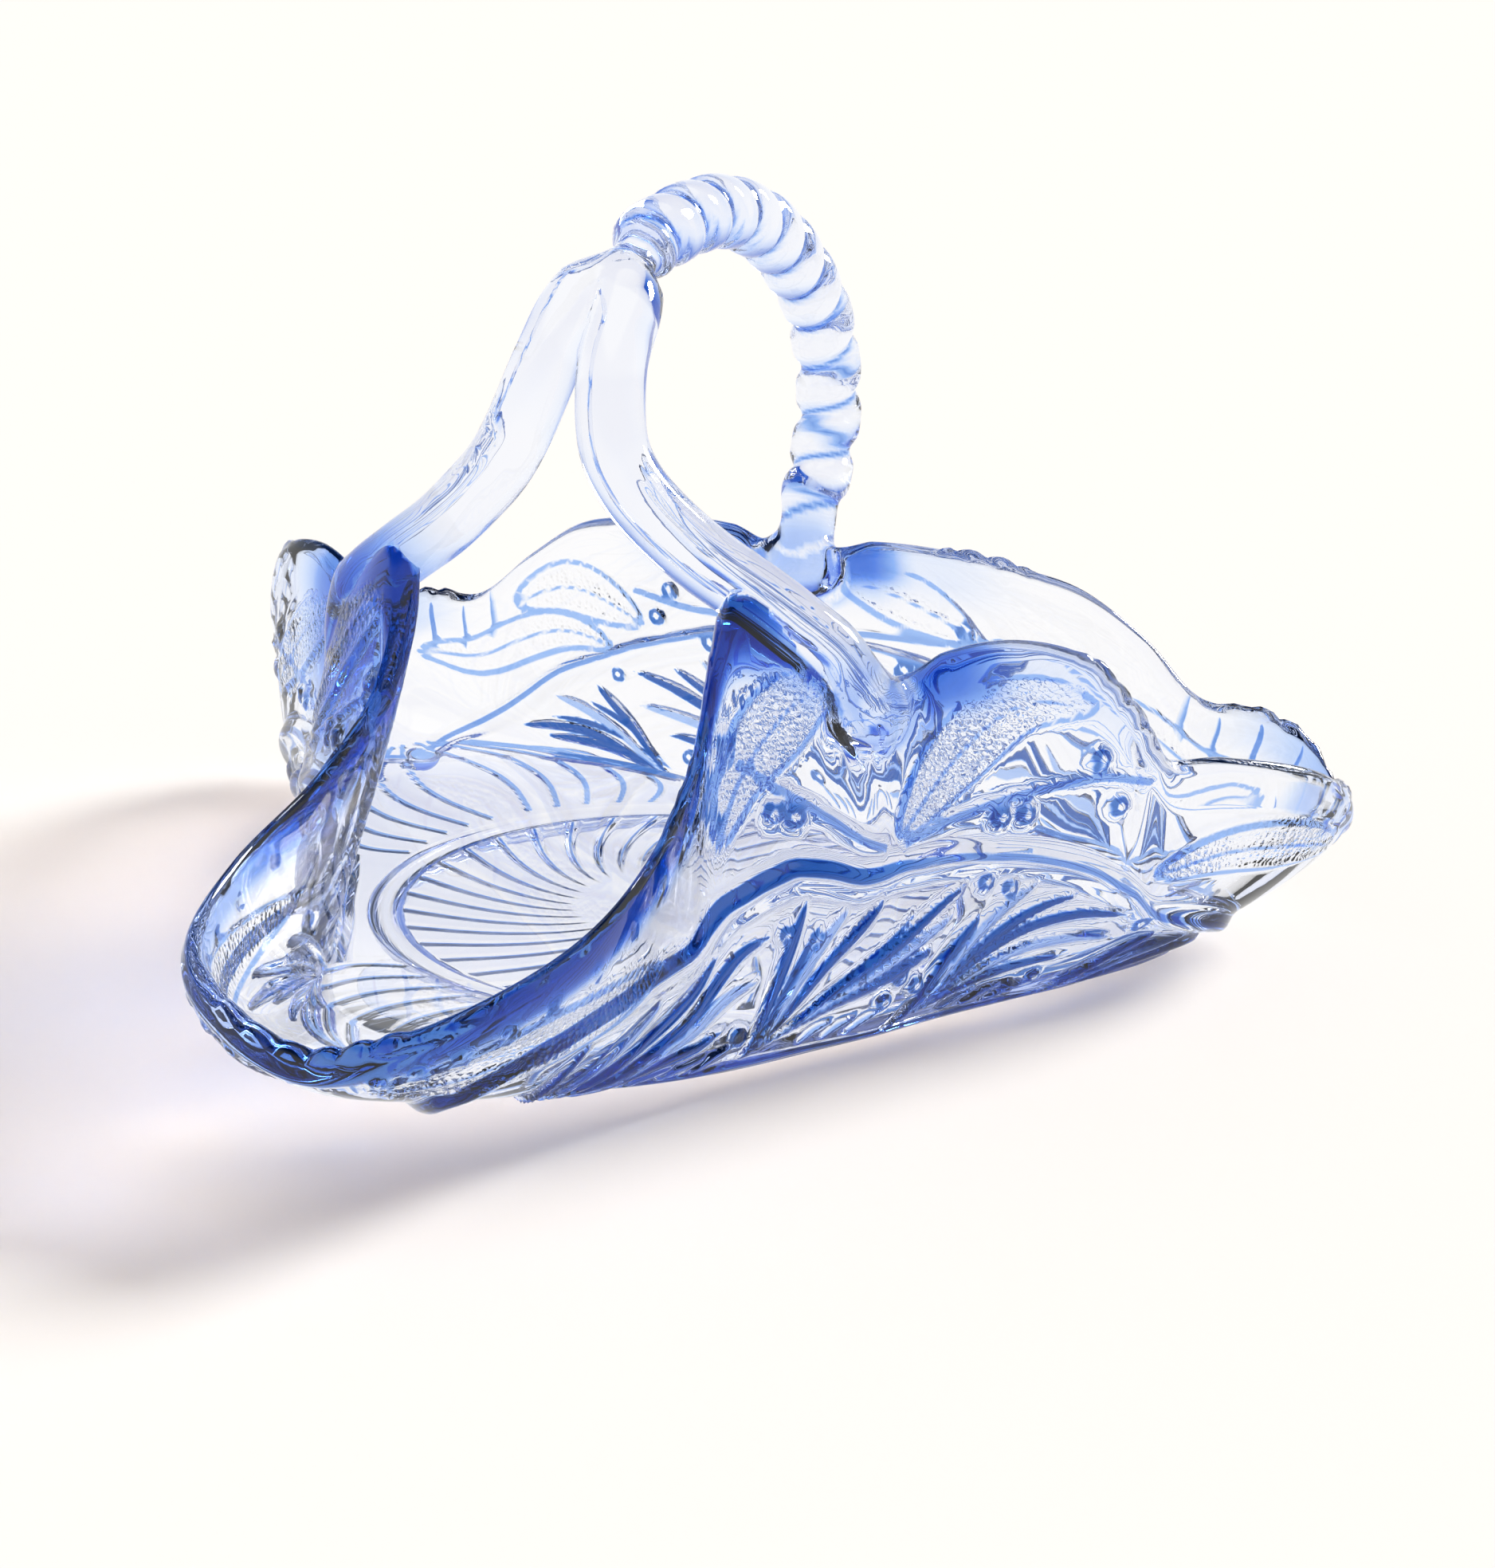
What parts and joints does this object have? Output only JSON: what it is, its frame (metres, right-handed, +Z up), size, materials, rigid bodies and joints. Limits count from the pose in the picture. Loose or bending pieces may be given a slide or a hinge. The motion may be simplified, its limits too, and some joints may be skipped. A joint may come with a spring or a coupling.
{
  "type": "glass basket",
  "caption": "Pressed-glass basket: a low footed bowl with scalloped rim, leaf relief and flared spouts, under a fixed forked handle with a twisted leg.",
  "frame": {"origin": "centre of the foot ring, on the table", "axes": "+Z up; -Y towards the front spout, between the two smooth legs of the handle; +X towards the right-hand spout"},
  "size_m": [0.1886, 0.1667, 0.115],
  "materials": {
    "pale_blue_glass": "clear pressed glass, ice blue, stippled on the leaves"
  },
  "bodies": {
    "root": {"glass_basket": "pale_blue_glass"}
  },
  "joints": []
}
